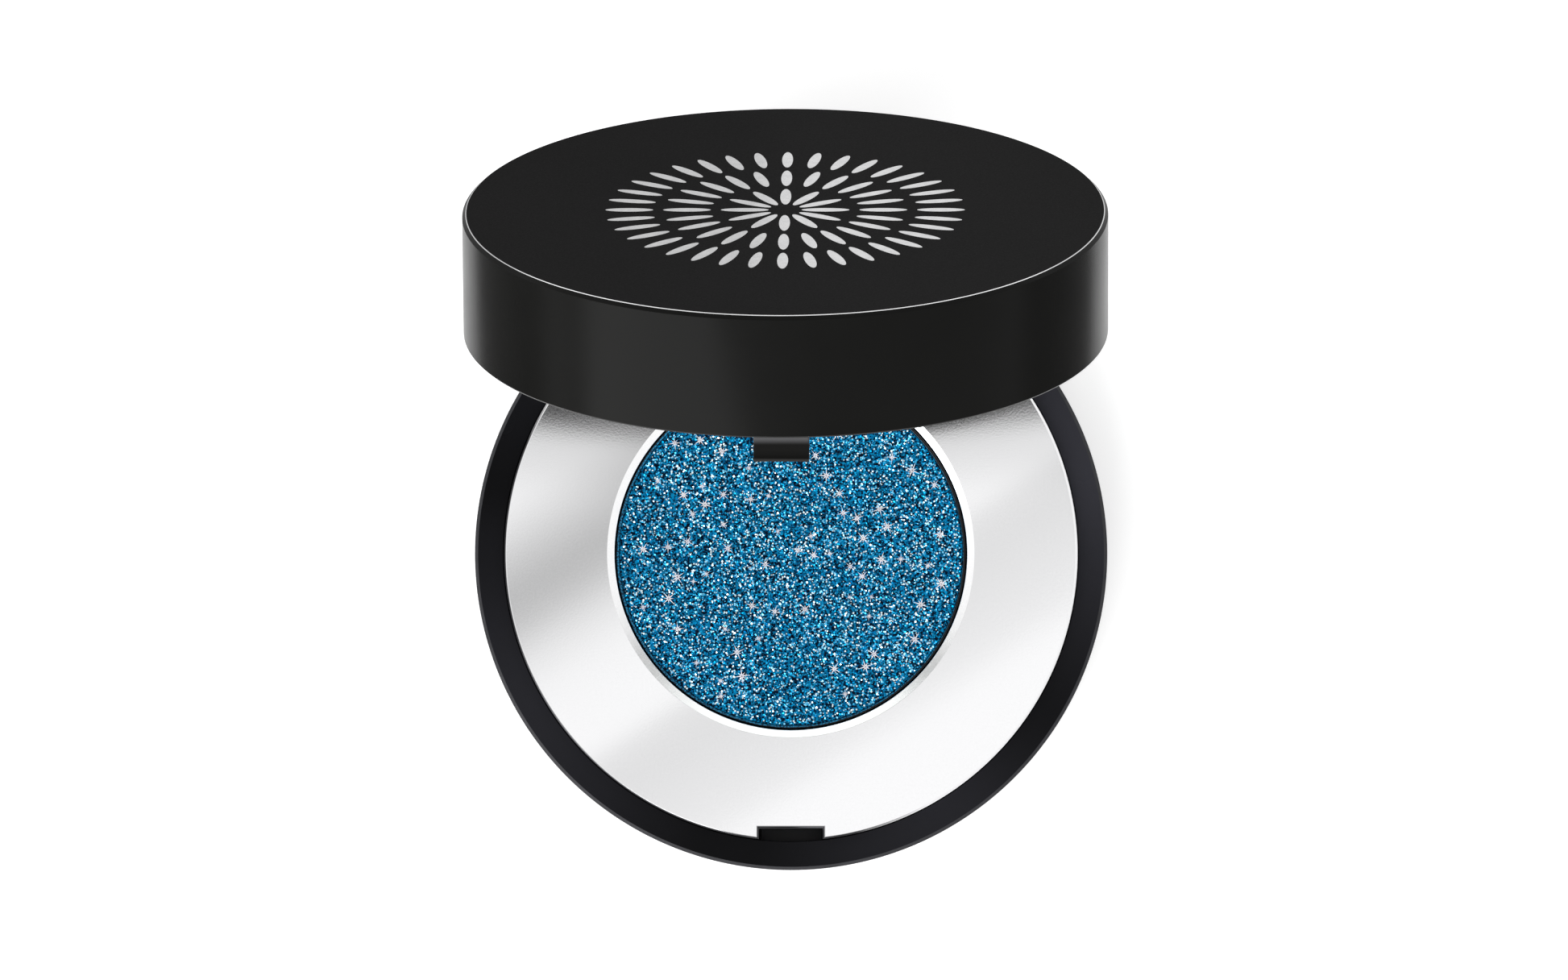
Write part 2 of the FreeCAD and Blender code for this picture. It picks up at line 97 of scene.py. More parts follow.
def vary(tree, shader, tone_by, tones, gloss_by, gloss):
    """Lets a surface's colour follow one pattern and its roughness another, and gives the colour."""
    tone = add_node(
        tree, "ShaderNodeMix", {0: tone_by, 6: linear(tones[0]), 7: linear(tones[1])}, data_type="RGBA"
    )
    rough = add_node(tree, "ShaderNodeMapRange", {"Value": gloss_by, "To Min": gloss[0], "To Max": gloss[1]})
    tree.links.new(tone.outputs[2], shader.inputs["Base Color"])
    tree.links.new(rough.outputs[0], shader.inputs["Roughness"])
    return tone.outputs[2]


def new_piece(name, mesh):
    """An object in the scene that shows a mesh."""
    piece = bpy.data.objects.new(name, mesh)
    bpy.context.scene.collection.objects.link(piece)
    return piece


def from_bmesh(name, shape):
    """A piece from a closed shape, with its faces turned outwards."""
    bmesh.ops.recalc_face_normals(shape, faces=shape.faces)
    mesh = bpy.data.meshes.new(name)
    shape.to_mesh(mesh)
    shape.free()
    return new_piece(name, mesh)


def rounded(corners):
    """Points of a profile in which each (radius, height, rounding) corner becomes an arc."""
    points = []
    for number, (radius, height, *rounding) in enumerate(corners):
        here = Vector((radius, height))
        if not rounding:
            points.append(here)
            continue
        back = (Vector(corners[number - 1][:2]) - here).normalized()
        ahead = (Vector(corners[number + 1][:2]) - here).normalized()
        half = back.angle(ahead) / 2
        reach = rounding[0] / math.tan(half)
        centre = here + (back + ahead).normalized() * rounding[0] / math.sin(half)
        first = (here + back * reach - centre).normalized()
        last = (here + ahead * reach - centre).normalized()
        steps = max(3, math.ceil((math.pi - 2 * half) / ARC_STEP))
        points.append(here + back * (reach + HOLD))
        points += [centre + first.slerp(last, step / steps) * rounding[0] for step in range(steps + 1)]
        points.append(here + ahead * (reach + HOLD))
    return points


def turned(name, corners):
    """A closed solid turned about the vertical axis, from a profile that starts and ends on that axis."""
    shape = bmesh.new()
    rings = []
    for point in rounded(corners):
        sides = SIDES if point.x > 0 else 1
        angles = [2 * math.pi * side / sides for side in range(sides)]
        rings.append(
            [shape.verts.new((point.x * math.cos(a), point.x * math.sin(a), point.y)) for a in angles]
        )
    for low, high in zip(rings, rings[1:]):
        for side in range(SIDES):
            there = (side + 1) % SIDES
            loop = [low[side % len(low)], low[there % len(low)]]
            loop += [high[there % len(high)], high[side % len(high)]]
            shape.faces.new(dict.fromkeys(loop))
    return from_bmesh(name, shape)


def applied(piece):
    """Turns a piece's modifiers into plain mesh."""
    shape = piece.evaluated_get(bpy.context.evaluated_depsgraph_get())
    result = bpy.data.meshes.new_from_object(shape)
    piece.modifiers.clear()
    piece.data = result
    return piece


def across(outline, left, right, soften=0.0):
    """A closed prism from left to right, from an outline of (y, height) points, with softened end edges."""
    shape = bmesh.new()
    ends = [[shape.verts.new((x, y, z)) for y, z in outline] for x in (left, right)]
    for loop in ends:
        shape.faces.new(loop)
    for side in range(len(outline)):
        there = (side + 1) % len(outline)
        shape.faces.new((ends[0][side], ends[0][there], ends[1][there], ends[1][side]))
    piece = from_bmesh("prism", shape)
    if soften:
        bevel = piece.modifiers.new("soften", "BEVEL")
        bevel.width, bevel.segments = soften, 3
        bevel.limit_method, bevel.angle_limit = "ANGLE", math.radians(50)
        applied(piece)
    return piece


def arc(radius, start, end):
    """Points about the hinge axis, from one angle to another in degrees."""
    steps = max(2, round(abs(end - start) / TURN_STEP))
    angles = [math.radians(start + (end - start) * step / steps) for step in range(steps + 1)]
    return [(HINGE[0] + radius * math.cos(a), HINGE[1] + radius * math.sin(a)) for a in angles]


def combine(piece, tool, operation):
    """Joins a closed tool to a piece or cuts it away."""
    change = piece.modifiers.new("combine", "BOOLEAN")
    change.object, change.operation, change.solver = tool, operation, "EXACT"
    applied(piece)
    bpy.data.objects.remove(tool)


def finished(piece, *materials, place=Matrix()):
    """Gives a piece its materials and smooth shading, and takes it from mm to its place in metres."""
    for material in materials:
        piece.data.materials.append(material)
    piece.data.transform(place @ Matrix.Scale(MM, 4))
    piece.data.shade_smooth()
    piece.data.set_sharp_from_angle(angle=SHARP)
    even = piece.modifiers.new("even", "WEIGHTED_NORMAL")
    even.weight, even.keep_sharp = 100, True
    return applied(piece)


base = turned(
    "case_base",
    [
        (0, 0.3),
        (15.3, 0.3),
        (15.3, 0, 0.1),
        (23.5, 0, 0.8),
        (23.5, 6.76, 0.06),
        (23.26, 7.0, 0.06),
        (RIM_INSIDE, 7.0, 0.04),
        (RIM_INSIDE, 3.5),
        (21.63, 3.1),
        (RIM_INSIDE, 2.7),
        (RIM_INSIDE, 1.5),
        (14.89, 1.5),
        (14.89, 2.5),
        (14.09, 2.5),
        (14.09, 1.5),
        (0, 1.5),
    ],
)
key = [(-21.63, 1.4), (-20.5, 1.4), (-20.5, KEY_TOP), (-21.63, KEY_TOP)]
combine(base, across(key, -KEY_HALF, KEY_HALF), "UNION")
hook_pocket = [(-21.85, KEY_TOP), (-20.6, KEY_TOP), (-20.6, 5.65), (-21.85, 5.65)]
combine(base, across(hook_pocket, -POCKET_HALF, POCKET_HALF), "DIFFERENCE")
ear = [(21.6, 6.5), *arc(BARREL, 180, -90), (21.6, 3.83)]
for left, right in ((-EAR_TO, -EAR_FROM), (EAR_FROM, EAR_TO)):
    combine(base, across(ear, left, right, soften=0.15), "UNION")
combine(base, across(arc(BARREL_ROOM, 0, ROOM_TURN), -EAR_FROM, EAR_FROM), "DIFFERENCE")
combine(base, across(arc(EAR_BORE, 0, BORE_TURN), -BORE_TO, BORE_TO), "DIFFERENCE")

# ABS from a polished mould: a cool near black, with a soft gloss that a fine ripple breaks up. Around the rim
# its tone is painted paler and darker by angle, a painted sheen of the reflections around it, with a random
# cloud.
RIM_SHEEN_BY_ANGLE = (
    (-180, 0.15),
    (-150, 0.48),
    (-103, 0.0),
    (-60, 0.38),
    (-30, 0.02),
    (0, 0.6),
    (20, 0.95),
    (70, 0.1),
    (115, 0.45),
    (163, 0.02),
    (180, 0.15),
)  # angle around the rim in degrees, and how pale the ABS is there
base_abs, tree, shader, where = new_material(
    "moulded_blue_black_abs", {"IOR": 1.54, "Specular IOR Level": 0.05}
)
flow = add_node(
    tree, "ShaderNodeTexNoise", {"Vector": where, "Scale": 1 / (16 * MM), "Detail": 3.0}
).outputs[0]
place = add_node(tree, "ShaderNodeSeparateXYZ", {0: where}).outputs
angle = add_node(tree, "ShaderNodeMath", {0: place["Y"], 1: place["X"]}, operation="ARCTAN2").outputs[0]
turn = add_node(tree, "ShaderNodeMapRange", {"Value": angle, "From Min": -math.pi, "From Max": math.pi})
# Painted sheen: the rim is paler or darker by its angle around the compact.
painted_rim_sheen = add_node(
    tree,
    "ShaderNodeValToRGB",
    {"Fac": turn.outputs[0]},
    stops=[((mark + 180) / 360, (pale, pale, pale, 1.0)) for mark, pale in RIM_SHEEN_BY_ANGLE],
)
painted_rim_sheen.color_ramp.interpolation = "CARDINAL"
cloud = add_node(tree, "ShaderNodeMapRange", {"Value": flow, "To Min": -0.1, "To Max": 0.1})
sheen_and_cloud = add_node(tree, "ShaderNodeMath", {0: painted_rim_sheen.outputs["Color"], 1: cloud.outputs[0]}, operation="ADD")
vary(tree, shader, sheen_and_cloud.outputs[0], ("#0a0a0c", "#333339"), flow, (0.2, 0.34))
ripple = add_node(tree, "ShaderNodeTexNoise", {"Vector": where, "Scale": 1 / (0.3 * MM), "Detail": 2.0})
relief = add_node(
    tree, "ShaderNodeBump", {"Height": ripple.outputs[0], "Strength": 1.0, "Distance": 0.0015 * MM}
)
tree.links.new(relief.outputs[0], shader.inputs["Normal"])

# Paler ABS as painted light: a painted highlight line on the rim's chamfer, and the key in the notch painted
# paler against the shade of its pocket.
painted_light_abs, tree, shader, where = new_material(
    "black_abs_painted_light", {"IOR": 1.54, "Specular IOR Level": 0.2}
)
light_mottle = add_node(
    tree, "ShaderNodeTexNoise", {"Vector": where, "Scale": 1 / (1.5 * MM), "Detail": 4.0}
).outputs[0]
vary(tree, shader, light_mottle, ("#1e1e21", "#3c3c40"), light_mottle, (0.3, 0.55))

# The chamfer and the key's top take the paler ABS of painted light.
for face in base.data.polygons:
    on_rim = face.center.z > CHAMFER_FROM and face.center.xy.length > RIM_INSIDE + 1
    on_key = abs(face.center.z - KEY_TOP) < HOLD and face.normal.z > LEVEL
    face.material_index = int(on_key or (on_rim and STEEP < face.normal.z < LEVEL))
finished(base, base_abs, painted_light_abs)
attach(base, "base")
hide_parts("base_shell")

# Label
# A blank round sticker of silver polyester film, pressed into the recess of the underside.
# Its face has the fine lines of the brushed film.

label_film, tree, shader, where = new_material("brushed_polyester_film", {"Metallic": 0.7, "IOR": 1.6})
along = add_node(
    tree, "ShaderNodeMapping", {"Vector": where, "Scale": (1 / (8 * MM), 1 / (0.2 * MM), 1.0)}
)
lines = add_node(
    tree, "ShaderNodeTexNoise", {"Vector": along.outputs[0], "Scale": 1.0, "Detail": 4.0}
).outputs[0]
vary(tree, shader, lines, ("#b2b3b6", "#d2d3d5"), lines, (0.32, 0.5))
frame["nodes"]["base_label"].material_slots[0].material = label_film

# Silver insert
# One ABS moulding, vacuum-metallised silver under a satin lacquer: the flat ring, the well for the pan and
# the notch for the catch. A bead around its skirt snaps into the base.

INSERT_TOP, WELL_RADIUS, BEVEL_RADIUS = 7.8, 13.09, 13.63
NOTCH_HALF, NOTCH_INSIDE, NOTCH_OUTSIDE, NOTCH_ROUND = 2.28, -20.45, -24.0, 0.3
CUTTER_TOP = 9.0
HOLD_RISE = 0.0001  # rise of the nearly flat strip around the notch that keeps the ring's shading flat

insert = turned(
    "silver_insert",
    [
        (0, 1.5),
        (13.99, 1.5),
        (13.99, 6.8),
        (20.63, 6.8),
        (20.63, 1.5),
        (21.33, 1.5),
        (21.33, 2.75),
        (21.53, 3.1),
        (21.33, 3.45),
        (21.33, INSERT_TOP, 0.2),
        (BEVEL_RADIUS, INSERT_TOP, 0.06),
        (WELL_RADIUS, 7.5, 0.06),
        (WELL_RADIUS, 2.3, 0.3),
        (0, 2.3),
    ],
)


def notch_cutter():
    """A block that widens upwards along an arc, so that the notch it cuts has rounded top edges."""
    shape = bmesh.new()
    start = INSERT_TOP - NOTCH_ROUND - HOLD_RISE
    levels = [(0.0, 0.0)]
    for step in range(7):
        a = step * ARC_STEP
        levels.append((NOTCH_ROUND * (1 - math.cos(a)), start + NOTCH_ROUND * math.sin(a)))
    widest = NOTCH_ROUND + 2 * HOLD
    levels += [(widest, INSERT_TOP + HOLD_RISE), (widest, CUTTER_TOP)]
    rings = []
    for grow, height in levels:
        half, inside = NOTCH_HALF + grow, NOTCH_INSIDE + grow
        outline = ((-half, NOTCH_OUTSIDE), (half, NOTCH_OUTSIDE), (half, inside), (-half, inside))
        rings.append([shape.verts.new((x, y, height)) for x, y in outline])
    for low, high in zip(rings, rings[1:]):
        for side in range(4):
            there = (side + 1) % 4
            shape.faces.new((low[side], low[there], high[there], high[side]))
    shape.faces.new(rings[0])
    shape.faces.new(rings[-1])
    return from_bmesh("notch", shape)


combine(insert, notch_cutter(), "DIFFERENCE")

# Metallised ABS: the thin metal layer mirrors broadly, and the lacquer's grain blurs it to satin.
# The grain is about 0.15 mm, as coarse as the render needs to show it. On the outer edge at the front left, a
# painted shade darkens the metal towards a dark grey.
EDGE_SHADE_TOWARDS, EDGE_SHADE_DEPTH = math.radians(220), 0.014
EDGE_SHADE_FROM, EDGE_SHADE_FULL = 0.2, 0.45  # shares of the rim's radius in that direction
silver, tree, shader, where = new_material("metallised_abs_satin", {"Metallic": 1.0})
grain = add_node(
    tree, "ShaderNodeTexNoise", {"Vector": where, "Scale": 1 / (0.15 * MM), "Detail": 2.0}
).outputs[0]
tone = vary(tree, shader, grain, ("#efeff0", "#f8f8f9"), grain, (0.06, 0.1))
relief = add_node(tree, "ShaderNodeBump", {"Height": grain, "Strength": 1.0, "Distance": 0.0006 * MM})
outwards = Vector((math.cos(EDGE_SHADE_TOWARDS), math.sin(EDGE_SHADE_TOWARDS), 0.0)) / (RIM_INSIDE * MM)
facing = add_node(tree, "ShaderNodeVectorMath", {0: where, 1: outwards}, operation="DOT_PRODUCT")
shaded_side = add_node(
    tree,
    "ShaderNodeMapRange",
    {"Value": facing.outputs["Value"], "From Min": EDGE_SHADE_FROM, "From Max": EDGE_SHADE_FULL},
)
edge_shade = add_node(
    tree,
    "ShaderNodeMapRange",
    {
        "Value": add_node(tree, "ShaderNodeSeparateXYZ", {0: where}).outputs["Z"],
        "From Min": (INSERT_TOP - EDGE_SHADE_DEPTH) * MM,
        "From Max": INSERT_TOP * MM,
        "To Min": shaded_side.outputs[0],
        "To Max": 0.0,
    },
)
# Painted shade: the top of the outer edge turns dark grey on the front left side.
painted_edge_shade = add_node(tree, "ShaderNodeMix", {0: edge_shade.outputs[0], 6: tone, 7: linear("#38383a")}, data_type="RGBA")
tree.links.new(painted_edge_shade.outputs[2], shader.inputs["Base Color"])
tree.links.new(relief.outputs[0], shader.inputs["Normal"])

# Bright metallised ABS: the well's bevel has no lacquer grain, so it mirrors the white around it.
bright_silver, tree, shader, where = new_material("metallised_abs_bright", {"Metallic": 1.0})
haze = add_node(
    tree, "ShaderNodeTexNoise", {"Vector": where, "Scale": 1 / (0.6 * MM), "Detail": 2.0}
).outputs[0]
vary(tree, shader, haze, ("#f8f8f9", "#ffffff"), haze, (0.22, 0.3))

for face in insert.data.polygons:
    in_well = WELL_RADIUS < face.center.xy.length < BEVEL_RADIUS
    face.material_index = int(in_well and face.normal.z > STEEP)
finished(insert, silver, bright_silver)
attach(insert, "base")
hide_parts("insert_frame")

# Pan and its glue
# The pan is a round cup drawn from thin aluminium sheet, stuck to the floor of the well with a disc of
# hot-melt glue. Only its rim shows, painted near black as the shade of the gap, a fine dark line around the
# powder.

pan = turned(
    "drawn_pan",
    [
        (0, 2.5),
        (13.0, 2.5, 0.6),
        (13.0, 7.2, 0.08),
        (12.78, 7.2, 0.08),
        (12.78, 2.72, 0.38),
        (0, 2.72),
    ],
)

# Aluminium with a dark satin coat, painted near black as the shade of the gap, over faint upright lines that
# the die left. Loose powder lies on the rim's inner edge; further out on the left it is painted light that
# pales that side.
DUST_FULL, DUST_END = 12.83, 12.9
DUST_AND_LIGHT_TOWARDS, DUST_AND_LIGHT_BY = math.radians(200), 0.006
pan_sheet, tree, shader, where = new_material(
    "aluminium_painted_dark_as_shade", {"IOR": 1.5, "Specular IOR Level": 0.2}
)
drawn = add_node(
    tree,
    "ShaderNodeMapping",
    {"Vector": where, "Scale": (1 / (0.25 * MM), 1 / (0.25 * MM), 1 / (6 * MM))},
)
lines = add_node(
    tree, "ShaderNodeTexNoise", {"Vector": drawn.outputs[0], "Scale": 1.0, "Detail": 3.0}
).outputs[0]
# Painted shade: the coat is near black as the shade of the gap around the powder.
dark_coat_as_shade = vary(tree, shader, lines, ("#060709", "#121316"), lines, (0.22, 0.4))
specks = add_node(tree, "ShaderNodeTexNoise", {"Vector": where, "Scale": 1 / (0.12 * MM), "Detail": 1.0})
speck = add_node(
    tree, "ShaderNodeMapRange", {"Value": specks.outputs[0], "From Min": 0.4, "From Max": 0.62}
)
dust = add_node(
    tree, "ShaderNodeMix", {0: speck.outputs[0], 6: linear("#021a34"), 7: linear("#2f98c8")}, data_type="RGBA"
)
flat = add_node(tree, "ShaderNodeVectorMath", {0: where, 1: (1.0, 1.0, 0.0)}, operation="MULTIPLY")
radius = add_node(tree, "ShaderNodeVectorMath", {0: flat.outputs[0]}, operation="LENGTH")
# Painted light: the dust reaches further out on the left, which makes the rim paler there.
dust_and_light_lean = Vector((math.cos(DUST_AND_LIGHT_TOWARDS), math.sin(DUST_AND_LIGHT_TOWARDS), 0.0)) * DUST_AND_LIGHT_BY
dust_and_light_shift = add_node(tree, "ShaderNodeVectorMath", {0: where, 1: dust_and_light_lean}, operation="DOT_PRODUCT")
edge = add_node(
    tree, "ShaderNodeMath", {0: radius.outputs["Value"], 1: dust_and_light_shift.outputs["Value"]}, operation="SUBTRACT"
)
bare = add_node(
    tree,
    "ShaderNodeMapRange",
    {"Value": edge.outputs[0], "From Min": DUST_FULL * MM, "From Max": DUST_END * MM},
)
dust_and_light_rim = add_node(
    tree, "ShaderNodeMix", {0: bare.outputs[0], 6: dust.outputs[2], 7: dark_coat_as_shade}, data_type="RGBA"
)
tree.links.new(dust_and_light_rim.outputs[2], shader.inputs["Base Color"])

finished(pan, pan_sheet)
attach(pan, "base")
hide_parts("pan")

# Set hot-melt glue: milky, a little uneven in colour, waxy.
glue, tree, shader, where = new_material("hot_melt_glue", {"Subsurface Weight": 0.15, "IOR": 1.48})
cloud = add_node(
    tree, "ShaderNodeTexNoise", {"Vector": where, "Scale": 1 / (3 * MM), "Detail": 3.0}
).outputs[0]
vary(tree, shader, cloud, ("#d8d2bd", "#ece8da"), cloud, (0.4, 0.6))
frame["nodes"]["pan_adhesive"].material_slots[0].material = glue

# Powder
# A cake of blue pigment and cut glitter film, pressed into the pan. Flakes of navy, blue, cyan and silver
# film lie at all angles in its face, with some larger star-cut flakes among them.

CAKE_RADIUS, CAKE_TOP = 12.75, 7.1
FLAKE_RADIUS, FLAKE_THICKNESS, FLAKE_CORNERS, FLAKE_TILT = 0.074, 0.02, 4, 0.5
STAR_REACH, STAR_THICKNESS, STAR_GAP, STAR_TILT, SHORT_POINT = 0.62, 0.02, 1.1, 0.12, 0.6
FLAKES_INSIDE, STARS_INSIDE, STARS_ABOVE = 0.1, 0.8, 0.1  # from the cake's edge and its face, in mm
DISC_SIDES = 128

cake = turned(
    "pressed_powder",
    [
        (0, 2.72),
        (12.15, 2.72),
        (CAKE_RADIUS, 3.32),
        (CAKE_RADIUS, CAKE_TOP, 0.05),
        (0, CAKE_TOP),
    ],
)

# Pressed pigment: dull, clumped in grains of about 0.16 mm that go from navy to cyan blue.
pigment, tree, shader, where = new_material("pressed_pigment", {"Specular IOR Level": 0.05})
clumps = add_node(
    tree, "ShaderNodeTexNoise", {"Vector": where, "Scale": 1 / (0.16 * MM), "Detail": 2.0}
).outputs[0]
patch = add_node(tree, "ShaderNodeMapRange", {"Value": clumps, "From Min": 0.44, "From Max": 0.6})
vary(tree, shader, patch.outputs[0], ("#020c20", "#0480b4"), clumps, (0.5, 0.8))
relief = add_node(tree, "ShaderNodeBump", {"Height": clumps, "Strength": 1.0, "Distance": 0.05 * MM})
tree.links.new(relief.outputs[0], shader.inputs["Normal"])

finished(cake, pigment)
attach(cake, "base")
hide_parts("powder_cake")

# Glitter film: thin metallised polyester, each flake of one colour.
FILM_COLOURS = (
    (0.0, "#020e20"),
    (0.19, "#045a92"),
    (0.32, "#0794d0"),
    (0.42, "#22b6ec"),
    (0.5, "#44baee"),
    (0.63, "#84d6fa"),
    (0.8, "#e4f8ff"),
)  # the tint from which a flake has each colour
glitter_film, tree, shader = new_material("cut_glitter_film", {"Metallic": 1.0})[:3]
tint = add_node(tree, "ShaderNodeAttribute", attribute_name="tint").outputs["Fac"]
colours = add_node(
    tree, "ShaderNodeValToRGB", {"Fac": tint}, stops=[(first, linear(film)) for first, film in FILM_COLOURS]
)
colours.color_ramp.interpolation = "CONSTANT"
gloss = add_node(tree, "ShaderNodeMapRange", {"Value": tint, "To Min": 0.4, "To Max": 0.25})
tree.links.new(colours.outputs["Color"], shader.inputs["Base Color"])
tree.links.new(gloss.outputs[0], shader.inputs["Roughness"])


def new_growth(name, inputs):
    """A Geometry Nodes tree with named inputs, and the sockets that give them."""
    growth = bpy.data.node_groups.new(name, "GeometryNodeTree")
    growth.interface.new_socket("Geometry", in_out="OUTPUT", socket_type="NodeSocketGeometry")
    for label, kind in inputs.items():
        growth.interface.new_socket(label, in_out="INPUT", socket_type=f"NodeSocket{kind}")
    return growth, growth.nodes.new("NodeGroupInput").outputs


def level_disc(growth, given):
    """A flat disc of the tree's radius, at its level."""
    face = add_node(
        growth,
        "GeometryNodeMeshCircle",
        {"Vertices": DISC_SIDES, "Radius": given["Radius"]},
        fill_type="NGON",
    )
    lift = add_node(growth, "ShaderNodeCombineXYZ", {"Z": given["Level"]})
    raised = add_node(
        growth, "GeometryNodeTransform", {"Geometry": face.outputs["Mesh"], "Translation": lift.outputs[0]}
    )
    return raised.outputs[0]


def strewn(growth, given, places, flake, least, most, seed):
    """A flake at each place, tilted at random and scaled at random between the least and the most."""
    least_tilt = add_node(
        growth, "ShaderNodeVectorMath", {0: given["Tilt"], 1: (-1.0, -1.0, 0.0)}, operation="MULTIPLY"
    )
    turn = add_node(
        growth,
        "FunctionNodeRandomValue",
        {"Min": least_tilt.outputs[0], "Max": given["Tilt"], "Seed": given["Seed"]},
        data_type="FLOAT_VECTOR",
    )
    spread = add_node(growth, "FunctionNodeRandomValue", {2: least, 3: most, "Seed": seed}, data_type="FLOAT")
    scattered = add_node(
        growth,
        "GeometryNodeInstanceOnPoints",
        {
            "Points": places.outputs["Points"],
            "Instance": flake,
            "Rotation": turn.outputs["Value"],
            "Scale": spread.outputs[1],
        },
    )
    return scattered.outputs[0]


def end_growth(growth, given, instances):
    """Ends a tree in real geometry with its material."""
    real = add_node(growth, "GeometryNodeRealizeInstances", {"Geometry": instances})
    dressed = add_node(
        growth, "GeometryNodeSetMaterial", {"Geometry": real.outputs[0], "Material": given["Material"]}
    )
    add_node(growth, "NodeGroupOutput", {"Geometry": dressed.outputs[0]})


def grown(name, growth, values):
    """A plain mesh piece from a Geometry Nodes tree, with the tree's inputs set."""
    piece = new_piece(name, bpy.data.meshes.new(name))
    grower = piece.modifiers.new("grow", "NODES")
    grower.node_group = growth
    sockets = {item.name: item.identifier for item in growth.interface.items_tree if item.in_out == "INPUT"}
    for label, given in values.items():
        grower[sockets[label]] = given
    return applied(piece)


growth, given = new_growth(
    "scattered_flakes",
    {
        "Radius": "Float",
        "Level": "Float",
        "Flakes per mm2": "Float",
        "Flake radius": "Float",
        "Thickness": "Float",
        "Tilt": "Vector",
        "First tint": "Float",
        "Last tint": "Float",
        "Seed": "Int",
        "Material": "Material",
    },
)
places = add_node(
    growth,
    "GeometryNodeDistributePointsOnFaces",
    {"Mesh": level_disc(growth, given), "Density": given["Flakes per mm2"], "Seed": given["Seed"]},
)
flake = add_node(
    growth,
    "GeometryNodeMeshCylinder",
    {"Vertices": FLAKE_CORNERS, "Radius": given["Flake radius"], "Depth": given["Thickness"]},
)
tint = add_node(
    growth,
    "FunctionNodeRandomValue",
    {2: given["First tint"], 3: given["Last tint"], "Seed": 23},
    data_type="FLOAT",
)
tinted = add_node(
    growth,
    "GeometryNodeStoreNamedAttribute",
    {
        "Geometry": strewn(growth, given, places, flake.outputs["Mesh"], least=0.6, most=1.3, seed=11),
        "Name": "tint",
        "Value": tint.outputs[1],
    },
    data_type="FLOAT",
    domain="INSTANCE",
)
end_growth(growth, given, tinted.outputs[0])

# The blue flakes lie in the cake's face, and the pale ones a little higher. Tints run from 0, navy, to 1,
# silver.
for name, per_mm2, height, first_tint, last_tint, seed in (
    ("blue_flakes", 32.0, 0.01, 0.0, 0.5, 7),
    ("silver_flakes", 18.0, 0.04, 0.5, 1.0, 19),
):
    flakes = grown(
        name,
        growth,
        {
            "Radius": CAKE_RADIUS - FLAKES_INSIDE,
            "Level": CAKE_TOP + height,
            "Flakes per mm2": per_mm2,
            "Flake radius": FLAKE_RADIUS,
            "Thickness": FLAKE_THICKNESS,
            "Tilt": (FLAKE_TILT, FLAKE_TILT, math.tau),
            "First tint": first_tint,
            "Last tint": last_tint,
            "Seed": seed,
            "Material": glitter_film,
        },
    )
    finished(flakes)
    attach(flakes, "base")

# Star-cut film: pearl white polyester with a breath of lilac, cut with eight fine points.
star_film, tree, shader, where = new_material("star_cut_pearl_film", {"Metallic": 0.25, "Roughness": 0.35})
sheen = add_node(tree, "ShaderNodeTexNoise", {"Vector": where, "Scale": 1 / (0.8 * MM)})
tone = add_node(
    tree, "ShaderNodeMix", {0: sheen.outputs[0], 6: linear("#efeaf8"), 7: linear("#ffffff")}, data_type="RGBA"
)
tree.links.new(tone.outputs[2], shader.inputs["Base Color"])

growth, given = new_growth(
    "scattered_stars",
    {
        "Radius": "Float",
        "Level": "Float",
        "Stars per mm2": "Float",
        "Gap": "Float",
        "Reach": "Float",
        "Point width": "Float",
        "Thickness": "Float",
        "Tilt": "Vector",
        "Seed": "Int",
        "Material": "Material",
    },
)
places = add_node(
    growth,
    "GeometryNodeDistributePointsOnFaces",
    {
        "Mesh": level_disc(growth, given),
        "Density Max": given["Stars per mm2"],
        "Distance Min": given["Gap"],
        "Seed": given["Seed"],
    },
    distribute_method="POISSON",
)
point = add_node(
    growth,
    "GeometryNodeMeshCylinder",
    {"Vertices": 4, "Radius": given["Reach"], "Depth": given["Thickness"]},
)
star = add_node(growth, "GeometryNodeJoinGeometry")
for number in range(4):
    length = 1.0 if number % 2 == 0 else SHORT_POINT
    narrow = add_node(growth, "ShaderNodeCombineXYZ", {"X": length, "Y": given["Point width"], "Z": 1.0})
    ray = add_node(
        growth,
        "GeometryNodeTransform",
        {
            "Geometry": point.outputs["Mesh"],
            "Rotation": (0.0, 0.0, number * math.pi / 4),
            "Scale": narrow.outputs[0],
        },
    )
    growth.links.new(ray.outputs[0], star.inputs[0])
end_growth(growth, given, strewn(growth, given, places, star.outputs[0], least=0.5, most=1.1, seed=5))

stars = grown(
    "star_flakes",
    growth,
    {
        "Radius": CAKE_RADIUS - STARS_INSIDE,
        "Level": CAKE_TOP + STARS_ABOVE,
        "Stars per mm2": 0.22,
        "Gap": STAR_GAP,
        "Reach": STAR_REACH,
        "Point width": 0.08,
        "Thickness": STAR_THICKNESS,
        "Tilt": (STAR_TILT, STAR_TILT, math.tau),
        "Seed": 3,
        "Material": star_film,
    },
)
finished(stars)
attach(stars, "base")

# Hinge pin
# A length of drawn steel wire with chamfered ends, pressed through the ears.
# It is free to turn in the lid's lug.

PIN_HALF, PIN_RADIUS, PIN_CHAMFER = 6.8, 0.5, 0.12

pin = turned(
    "wire_pin",
    [
        (0, -PIN_HALF),
        (PIN_RADIUS - PIN_CHAMFER, -PIN_HALF),
        (PIN_RADIUS, PIN_CHAMFER - PIN_HALF),
        (PIN_RADIUS, PIN_HALF - PIN_CHAMFER),
        (PIN_RADIUS - PIN_CHAMFER, PIN_HALF),
        (0, PIN_HALF),
    ],
)

